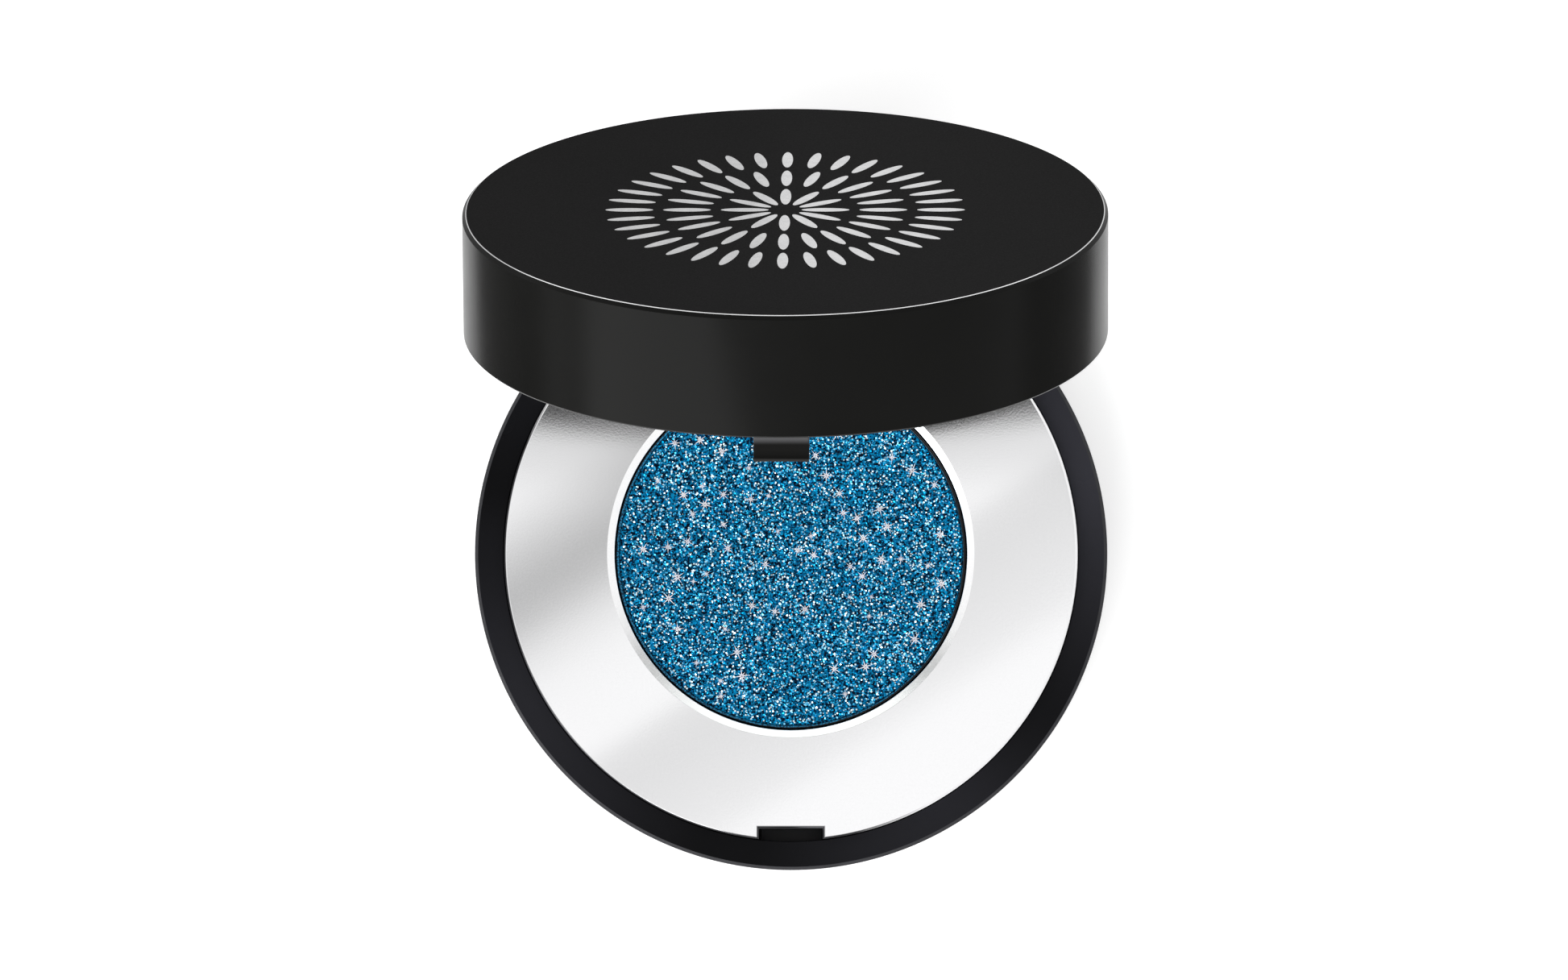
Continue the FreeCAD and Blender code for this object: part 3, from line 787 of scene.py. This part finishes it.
# Drawn steel: grey, with fine lines along the wire.
wire, tree, shader, where = new_material("drawn_steel_wire", {"Metallic": 1.0})
drawn = add_node(
    tree,
    "ShaderNodeMapping",
    {"Vector": where, "Scale": (1 / (4 * MM), 1 / (0.08 * MM), 1 / (0.08 * MM))},
)
lines = add_node(
    tree, "ShaderNodeTexNoise", {"Vector": drawn.outputs[0], "Scale": 1.0, "Detail": 3.0}
).outputs[0]
vary(tree, shader, lines, ("#a5a6a9", "#cfd0d2"), lines, (0.2, 0.38))

on_axis = Matrix.Translation((0, HINGE[0] * MM, HINGE[1] * MM)) @ Matrix.Rotation(math.pi / 2, 4, "Y")
finished(pin, wire, place=on_axis)
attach(pin, "base")
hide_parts("hinge_pin")

# Lid
# A thick round cap moulded in black ABS, with a hinge lug between the base's ears and a heel on the lug that
# stops the opening lid. Its top is textured matt, with a silver foil rosette and a painted silver highlight
# on its edge.

LID_RADIUS, LID_BOTTOM, LID_TOP, LID_EDGE = 23.5, 7.15, 16.4, 0.28
# The lid's top edge carries a painted highlight line in the foil's silver, over the normals given below.
EDGE_ROUND, EDGE_HIGHLIGHT_FROM, EDGE_HIGHLIGHT_TO = 0.15, 0.72, 0.99  # the edge's rounding, and the normals that the foil covers
LUG_HALF, LUG_BORE, EAR_ROOM = 3.85, 0.55, 7.15
HEEL_REACH, HEEL_TIP, HEEL_BACK = 2.0, 10.46, 70.46  # mm, and angles about the hinge axis with the lid closed

# Lid pieces are drawn closed and then swung to where the frame has them at rest
joint = frame["joints"][0]
pivot = Matrix.Translation(joint["pos_m"])
swing = Matrix.Rotation(math.radians(-joint["range_deg"][0]), 4, Vector(joint["axis"]))
open_lid = pivot @ swing @ pivot.inverted()

lid = turned(
    "case_lid",
    [
        (0, 14.8),
        (21.6, 14.8),
        (21.6, 13.8),
        (21.85, 13.4),
        (21.6, 13.0),
        (21.6, LID_BOTTOM, 0.05),
        (23.35, LID_BOTTOM, 0.05),
        (LID_RADIUS, 7.3, 0.05),
        (LID_RADIUS, LID_TOP - LID_EDGE, 0.05),
        (LID_RADIUS - LID_EDGE, LID_TOP, EDGE_ROUND),
        (0, LID_TOP),
    ],
)
lug = [
    (21.7, LID_BOTTOM),
    *arc(BARREL, 150, 360 + HEEL_TIP),
    arc(HEEL_REACH, HEEL_TIP, HEEL_TIP)[0],
    *arc(BARREL, HEEL_BACK, 90),
    (21.7, 9.235),
]
combine(lid, across(lug, -LUG_HALF, LUG_HALF, soften=0.12), "UNION")
for left, right in ((-EAR_ROOM, -LUG_HALF), (LUG_HALF, EAR_ROOM)):
    combine(lid, across(arc(BARREL_ROOM, 0, ROOM_TURN), left, right), "DIFFERENCE")
combine(lid, across(arc(LUG_BORE, 0, BORE_TURN), -LUG_HALF - 0.1, LUG_HALF + 0.1), "DIFFERENCE")

# ABS from a polished mould: a warm near black, with faint flow marks and a soft gloss that a fine ripple
# breaks up.
black_abs, tree, shader, where = new_material("moulded_black_abs", {"IOR": 1.54, "Specular IOR Level": 0.05})
flow = add_node(
    tree, "ShaderNodeTexNoise", {"Vector": where, "Scale": 1 / (7 * MM), "Detail": 3.0}
).outputs[0]
vary(tree, shader, flow, ("#111110", "#171716"), flow, (0.2, 0.3))
ripple = add_node(tree, "ShaderNodeTexNoise", {"Vector": where, "Scale": 1 / (0.3 * MM), "Detail": 2.0})
relief = add_node(
    tree, "ShaderNodeBump", {"Height": ripple.outputs[0], "Strength": 1.0, "Distance": 0.0015 * MM}
)
tree.links.new(relief.outputs[0], shader.inputs["Normal"])

# Matt ABS: the spark-eroded mould leaves a fine even texture that takes nearly all the gloss away.
matt_abs, tree, shader, where = new_material(
    "spark_textured_black_abs", {"IOR": 1.54, "Specular IOR Level": 0.03}
)
pits = add_node(
    tree, "ShaderNodeTexNoise", {"Vector": where, "Scale": 1 / (0.12 * MM), "Detail": 2.0}
).outputs[0]
cloud = add_node(tree, "ShaderNodeTexNoise", {"Vector": where, "Scale": 1 / (14 * MM), "Detail": 2.0})
vary(tree, shader, cloud.outputs[0], ("#0b0b0b", "#121112"), pits, (0.5, 0.7))
relief = add_node(tree, "ShaderNodeBump", {"Height": pits, "Strength": 1.0, "Distance": 0.004 * MM})
tree.links.new(relief.outputs[0], shader.inputs["Normal"])

# Hot-stamped foil: bright silver, slightly crazed where it was pressed. The same silver on the lid's top edge
# is a painted highlight line.
foil_and_edge_highlight, tree, shader, where = new_material("silver_foil_and_painted_edge_highlight", {"Metallic": 1.0})
craze = add_node(
    tree, "ShaderNodeTexNoise", {"Vector": where, "Scale": 1 / (0.5 * MM), "Detail": 3.0}
).outputs[0]
vary(tree, shader, craze, ("#d4d4d6", "#fafafa"), craze, (0.12, 0.3))

# The rounding of the top edge gets the silver as a painted highlight, and the flat top gets matt ABS.
for face in lid.data.polygons:
    upwards = face.normal.z
    if face.center.z > LID_TOP - EDGE_ROUND and upwards > EDGE_HIGHLIGHT_FROM:
        face.material_index = 1 if upwards > EDGE_HIGHLIGHT_TO else 2
finished(lid, black_abs, matt_abs, foil_and_edge_highlight, place=open_lid)
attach(lid, "lid")
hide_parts("lid_shell")

# The rosette is three rings of petals. Each ring has twelve petals more than the one inside it.
RINGS, RING_INSET, PETAL_SIDES = 3, 0.3, 20
growth, given = new_growth(
    "stamped_rosette",
    {
        "Petals": "Int",
        "Ring width": "Float",
        "Petal length": "Float",
        "Petal width": "Float",
        "Thickness": "Float",
        "Level": "Float",
        "Material": "Material",
    },
)
disc = add_node(
    growth, "GeometryNodeMeshCylinder", {"Vertices": PETAL_SIDES, "Radius": 0.5, "Depth": given["Thickness"]}
)
stretch = add_node(
    growth, "ShaderNodeCombineXYZ", {"X": given["Petal length"], "Y": given["Petal width"], "Z": 1.0}
)
petal = add_node(
    growth, "GeometryNodeTransform", {"Geometry": disc.outputs["Mesh"], "Scale": stretch.outputs[0]}
)
rosette = add_node(growth, "GeometryNodeJoinGeometry")
for ring in range(1, RINGS + 1):
    count = add_node(growth, "ShaderNodeMath", {0: given["Petals"], 1: ring}, operation="MULTIPLY")
    row = add_node(growth, "GeometryNodePoints", {"Count": count.outputs[0]})
    number = add_node(growth, "GeometryNodeInputIndex").outputs[0]
    step = add_node(growth, "ShaderNodeMath", {0: math.tau, 1: count.outputs[0]}, operation="DIVIDE")
    angle = add_node(
        growth, "ShaderNodeMath", {0: number, 1: step.outputs[0]}, operation="MULTIPLY"
    ).outputs[0]
    out = add_node(
        growth, "ShaderNodeMath", {0: given["Ring width"], 1: ring - RING_INSET}, operation="MULTIPLY"
    ).outputs[0]
    cosine = add_node(growth, "ShaderNodeMath", {0: angle}, operation="COSINE")
    sine = add_node(growth, "ShaderNodeMath", {0: angle}, operation="SINE")
    x = add_node(growth, "ShaderNodeMath", {0: out, 1: cosine.outputs[0]}, operation="MULTIPLY")
    y = add_node(growth, "ShaderNodeMath", {0: out, 1: sine.outputs[0]}, operation="MULTIPLY")
    spot = add_node(
        growth, "ShaderNodeCombineXYZ", {"X": x.outputs[0], "Y": y.outputs[0], "Z": given["Level"]}
    )
    circle = add_node(
        growth, "GeometryNodeSetPosition", {"Geometry": row.outputs[0], "Position": spot.outputs[0]}
    )
    outwards = add_node(growth, "ShaderNodeCombineXYZ", {"Z": angle})
    petals = add_node(
        growth,
        "GeometryNodeInstanceOnPoints",
        {"Points": circle.outputs[0], "Instance": petal.outputs[0], "Rotation": outwards.outputs[0]},
    )
    growth.links.new(petals.outputs[0], rosette.inputs[0])
end_growth(growth, given, rosette.outputs[0])

rosette = grown(
    "foil_rosette",
    growth,
    {
        "Petals": 12,
        "Ring width": 4.2,
        "Petal length": 3.5,
        "Petal width": 0.8,
        "Thickness": 0.04,
        "Level": LID_TOP,
        "Material": foil_and_edge_highlight,
    },
)
finished(rosette, place=open_lid)
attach(rosette, "lid")

# Liner
# The black ABS frame inside the lid. Its bezel holds the mirror, a bead snaps it into the lid, and the
# springy tongue with its hook is the catch.

TONGUE_HALF, TONGUE_OUT, TONGUE_IN, TONGUE_ROOT, TONGUE_TIP = 2.0, -21.28, -20.6, 8.6, 4.6
LINER_BOTTOM = 8.15

liner = turned(
    "lid_liner_frame",
    [
        (0, 12.05),
        (20.52, 12.05),
        (20.52, 14.8),
        (21.52, 14.8),
        (21.52, 13.75),
        (21.72, 13.4),
        (21.52, 13.05),
        (21.52, LINER_BOTTOM, 0.12),
        (20.12, LINER_BOTTOM, 0.1),
        (19.72, 8.55, 0.1),
        (19.72, 11.05),
        (0, 11.05),
    ],
)
tongue = [
    (TONGUE_IN, TONGUE_ROOT),
    (TONGUE_OUT, TONGUE_ROOT),
    (TONGUE_OUT, 5.5),
    (-21.55, 4.9),
    (TONGUE_OUT, TONGUE_TIP),
    (TONGUE_IN, TONGUE_TIP),
]
combine(liner, across(tongue, -TONGUE_HALF, TONGUE_HALF, soften=0.08), "UNION")

# Black ABS with a painted sheen: the same black, painted grey towards the tongue's root as a highlight.
SHEEN_FROM, SHEEN_FULL = -0.65, -0.1  # heights from the hinge axis with the lid closed
tongue_sheen_abs, tree, shader, where = new_material(
    "black_abs_painted_tongue_sheen", {"IOR": 1.54, "Specular IOR Level": 0.05}
)
from_hinge = add_node(tree, "ShaderNodeVectorMath", {0: where, 1: joint["pos_m"]}, operation="SUBTRACT")
up_tongue = add_node(
    tree,
    "ShaderNodeVectorMath",
    {0: from_hinge.outputs[0], 1: swing @ Vector((0, 0, 1))},
    operation="DOT_PRODUCT",
)
painted_sheen_mask = add_node(
    tree,
    "ShaderNodeMapRange",
    {"Value": up_tongue.outputs["Value"], "From Min": SHEEN_FROM * MM, "From Max": SHEEN_FULL * MM},
    interpolation_type="SMOOTHSTEP",
).outputs[0]
vary(tree, shader, painted_sheen_mask, ("#161615", "#606062"), painted_sheen_mask, (0.28, 0.45))

for face in liner.data.polygons:
    face.material_index = int(face.center.z < LINER_BOTTOM)
finished(liner, black_abs, tongue_sheen_abs, place=open_lid)
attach(liner, "lid")
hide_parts("lid_liner")

# Mirror and its tape
# A round of silvered glass with a ground edge, held to the liner by a disc of double-sided acrylic tape.
# The liner's bezel stands around it.

mirror = turned(
    "glass_mirror",
    [
        (0, 10.9),
        (19.62, 10.9),
        (19.62, 9.8),
        (19.42, 9.6),
        (0, 9.6),
    ],
)

# Silvered glass: a clean mirror with the faint green of the glass and a slight haze of fingerprints.
silvered, tree, shader, where = new_material("silvered_glass", {"Metallic": 1.0})
haze = add_node(
    tree, "ShaderNodeTexNoise", {"Vector": where, "Scale": 1 / (9 * MM), "Detail": 4.0}
).outputs[0]
vary(tree, shader, haze, ("#eef2f0", "#fafbfa"), haze, (0.0, 0.06))

# Ground glass edge: pale green grey and frosted.
ground_edge, tree, shader, where = new_material("ground_glass_edge", {"IOR": 1.52})
frost = add_node(tree, "ShaderNodeTexNoise", {"Vector": where, "Scale": 1 / (0.1 * MM)}).outputs[0]
vary(tree, shader, frost, ("#8fa39c", "#c3d0cb"), frost, (0.4, 0.65))

for face in mirror.data.polygons:
    face.material_index = 0 if abs(face.normal.z) > LEVEL else 1
finished(mirror, silvered, ground_edge, place=open_lid)
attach(mirror, "lid")
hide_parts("mirror")

# Acrylic tape: milky white with the weave of its tissue carrier.
tape, tree, shader, where = new_material("acrylic_tissue_tape", {"IOR": 1.47})
tissue = add_node(
    tree, "ShaderNodeTexNoise", {"Vector": where, "Scale": 1 / (0.6 * MM), "Detail": 4.0}
).outputs[0]
vary(tree, shader, tissue, ("#dcdad2", "#f2f1ec"), tissue, (0.35, 0.6))
frame["nodes"]["mirror_adhesive"].material_slots[0].material = tape

# Floor, light and camera
# A white table under plain soft light, seen from straight above. A banded reflector above the compact and
# grey flags around it, which only reflections see, shade the silver and keep the black walls dark.

CAMERA_AT, CAMERA_AIM = Vector((20.0, 1.6, 1207.0)), Vector((-0.52, 4.74, 6.8))
LENS, SENSOR = 370.9, 36.0
TABLE_HALF, TABLE_LEVEL, TABLE_GLOW = 2000, -0.02, 0.52
CARD_HEIGHT, CARD_RADIUS, CARD_SIDES, CARD_LIGHT = 90.0, 28.0, 48, 1.1
BAND_ANGLE, BAND_REACH = math.radians(33), 24.0
BANDS = (
    (-14.5, 1.0),
    (-11.0, 0.68),
    (-8.6, 0.51),
    (-6.6, 0.6),
    (-4.2, 0.88),
    (-1.5, 1.02),
    (4.4, 1.07),
    (5.2, 0.84),
    (7.6, 0.82),
    (13.5, 0.92),
    (15.8, 1.07),
)  # mm across the bands, and how bright the reflector is there
LID_SHADE_CENTRE, LID_SHADE_AXES = (-3.0, 18.05), (33.0, 8.3)
LID_SHADE = ((1.04, 0.0), (1.12, 0.35), (1.21, 0.82), (1.28, 0.85), (1.45, 0.85), (1.75, 1.0))
FLAG_LEVEL, FIRST_BOUNCE = 0.5, 1.5
SKY_LIGHT = 0.66
SOFTBOX_SIZE, SOFTBOX_POWER, SOFTBOX_FAR = (0.95, 0.4), 4.4, 720


def emptied(owner):
    """The node tree of a material or world, with nothing in it yet."""
    owner.use_nodes = True
    owner.node_tree.nodes.clear()
    return owner.node_tree


def seen_directly(tree):
    """1 for what the camera, a reflection or glass sees, and 0 for the light that falls on things."""
    path = add_node(tree, "ShaderNodeLightPath").outputs
    seen = path["Is Camera Ray"]
    for kind in ("Is Glossy Ray", "Is Transmission Ray"):
        seen = add_node(tree, "ShaderNodeMath", {0: seen, 1: path[kind]}, operation="MAXIMUM").outputs[0]
    return seen


def flat_sheet(name, corners):
    """A flat sheet between its corners, in millimetres."""
    mesh = bpy.data.meshes.new(name)
    mesh.from_pydata([Vector(corner) * MM for corner in corners], [], [range(len(corners))])
    return new_piece(name, mesh)


def reflected_only(sheet):
    """Marks a sheet of the stage that only reflections see."""
    sheet.visible_camera = sheet.visible_diffuse = sheet.visible_shadow = sheet.visible_transmission = False


around = ((-1, -1), (1, -1), (1, 1), (-1, 1))
floor = flat_sheet("table", [(x * TABLE_HALF, y * TABLE_HALF, TABLE_LEVEL) for x, y in around])
table = bpy.data.materials.new("white_laminate")
tree = emptied(table)
lift = add_node(tree, "ShaderNodeMath", {0: seen_directly(tree), 1: TABLE_GLOW}, operation="MULTIPLY")
laminate = add_node(tree, "ShaderNodeBsdfDiffuse", {"Color": linear("#f2f2f2")})
glow = add_node(tree, "ShaderNodeEmission", {"Color": linear("#ffffff"), "Strength": lift.outputs[0]})
both = add_node(tree, "ShaderNodeAddShader", {0: laminate.outputs[0], 1: glow.outputs[0]})
add_node(tree, "ShaderNodeOutputMaterial", {"Surface": both.outputs[0]})
floor.data.materials.append(table)

turns = [-math.tau * side / CARD_SIDES for side in range(CARD_SIDES)]
outline = [(CARD_RADIUS * math.cos(a), CARD_RADIUS * math.sin(a), CARD_HEIGHT) for a in turns]
card = flat_sheet("banded_reflector", outline)
bands = bpy.data.materials.new("banded_reflector")
tree = emptied(bands)
where = add_node(tree, "ShaderNodeTexCoord").outputs["Object"]
# The pattern is laid out in millimetres on the silver, where the camera sees each point of the reflector
reach = (CARD_HEIGHT - INSERT_TOP) / (CAMERA_AT.z - INSERT_TOP)
on_silver = add_node(
    tree,
    "ShaderNodeMapping",
    {
        "Vector": where,
        "Scale": (1 / (1 + reach) / MM, 1 / (1 + reach) / MM, 0.0),
        "Location": (CAMERA_AT.x * reach / (1 + reach), CAMERA_AT.y * reach / (1 + reach), 0.0),
    },
).outputs[0]
slope = add_node(
    tree,
    "ShaderNodeVectorMath",
    {0: on_silver, 1: (math.sin(BAND_ANGLE), -math.cos(BAND_ANGLE), 0.0)},
    operation="DOT_PRODUCT",
)
along = add_node(
    tree,
    "ShaderNodeMapRange",
    {"Value": slope.outputs["Value"], "From Min": -BAND_REACH, "From Max": BAND_REACH},
)
ramp = add_node(
    tree,
    "ShaderNodeValToRGB",
    {"Fac": along.outputs[0]},
    stops=[
        ((position + BAND_REACH) / (2 * BAND_REACH), (*[level / CARD_LIGHT] * 3, 1.0))
        for position, level in BANDS
    ],
)
from_lid = add_node(
    tree, "ShaderNodeVectorMath", {0: on_silver, 1: (*LID_SHADE_CENTRE, 0.0)}, operation="SUBTRACT"
)
ellipse = add_node(
    tree, "ShaderNodeVectorMath", {0: from_lid.outputs[0], 1: (*LID_SHADE_AXES, 1.0)}, operation="DIVIDE"
)
outside = add_node(tree, "ShaderNodeVectorMath", {0: ellipse.outputs[0]}, operation="LENGTH")
away = add_node(
    tree, "ShaderNodeMapRange", {"Value": outside.outputs["Value"], "From Min": 1.0, "From Max": 2.0}
)
shade = add_node(
    tree,
    "ShaderNodeValToRGB",
    {"Fac": away.outputs[0]},
    stops=[(position - 1, (level, level, level, 1.0)) for position, level in LID_SHADE],
)
shade.color_ramp.interpolation = "CARDINAL"
strength = add_node(tree, "ShaderNodeMath", {0: shade.outputs["Color"], 1: CARD_LIGHT}, operation="MULTIPLY")
shine = add_node(
    tree, "ShaderNodeEmission", {"Color": ramp.outputs["Color"], "Strength": strength.outputs[0]}
)
add_node(tree, "ShaderNodeOutputMaterial", {"Surface": shine.outputs[0]})
card.data.materials.append(bands)
reflected_only(card)

# Grey flags across the front and on the table beside and behind the compact, for a first reflection only
front = [(-40, -120, 260), (55, -120, 260), (55, -180, 185), (-40, -180, 185)]
flags = [("front_flag", 0.3, front)]
for name, level, left, right, near, far in (
    ("right_flag", 0.3, 48, 260, -120, 28),
    ("left_flag", 0.3, -260, -48, -120, 28),
    ("back_left_flag", 0.65, -140, -2, 28, 130),
    ("back_right_flag", 0.8, -2, 140, 28, 130),
):
    plan = ((left, near), (right, near), (right, far), (left, far))
    flags.append((name, level, [(x, y, FLAG_LEVEL) for x, y in plan]))
for name, level, corners in flags:
    flag = flat_sheet(name, corners)
    cloth = bpy.data.materials.new(name)
    tree = emptied(cloth)
    depth = add_node(tree, "ShaderNodeLightPath").outputs["Ray Depth"]
    first = add_node(tree, "ShaderNodeMath", {0: depth, 1: FIRST_BOUNCE}, operation="LESS_THAN")
    shine = add_node(tree, "ShaderNodeEmission", {"Color": linear("#ffffff"), "Strength": level})
    clear = add_node(tree, "ShaderNodeBsdfTransparent")
    either = add_node(
        tree, "ShaderNodeMixShader", {0: first.outputs[0], 1: clear.outputs[0], 2: shine.outputs[0]}
    )
    add_node(tree, "ShaderNodeOutputMaterial", {"Surface": either.outputs[0]})
    flag.data.materials.append(cloth)
    reflected_only(flag)

world = bpy.data.worlds.new("white_studio")
bpy.context.scene.world = world
tree = emptied(world)
falling = add_node(tree, "ShaderNodeBackground", {"Color": linear("#ffffff"), "Strength": SKY_LIGHT})
seen = add_node(tree, "ShaderNodeBackground", {"Color": linear("#ffffff"), "Strength": 1.0})
either = add_node(
    tree, "ShaderNodeMixShader", {0: seen_directly(tree), 1: falling.outputs[0], 2: seen.outputs[0]}
)
add_node(tree, "ShaderNodeOutputWorld", {"Surface": either.outputs[0]})

softbox = bpy.data.lights.new("softbox", "AREA")
softbox.shape, softbox.energy = "RECTANGLE", SOFTBOX_POWER
softbox.size, softbox.size_y = SOFTBOX_SIZE
lamp = bpy.data.objects.new("softbox", softbox)
facing = Vector((-0.55, -0.62, 0.56)).normalized()
across_lid = Vector((0.69, -0.23, 0.64))
side = (across_lid - across_lid.project(facing)).normalized()
turned_to = Matrix((side, facing.cross(side), facing)).transposed().to_4x4()
lamp.matrix_world = Matrix.Translation(facing * SOFTBOX_FAR * MM) @ turned_to
lamp.visible_camera = False
bpy.context.scene.collection.objects.link(lamp)

view = bpy.data.cameras.new("camera")
view.lens, view.sensor_width, view.clip_start, view.clip_end = LENS, SENSOR, 0.01, 20.0
camera = bpy.data.objects.new("camera", view)
camera.location = CAMERA_AT * MM
drop = CAMERA_AT.z - CAMERA_AIM.z
camera.rotation_euler = (
    math.atan2(CAMERA_AIM.y - CAMERA_AT.y, drop),
    math.atan2(CAMERA_AT.x - CAMERA_AIM.x, drop),
    0.0,
)
bpy.context.scene.collection.objects.link(camera)
bpy.context.scene.camera = camera
bpy.context.scene.view_settings.view_transform = "Standard"
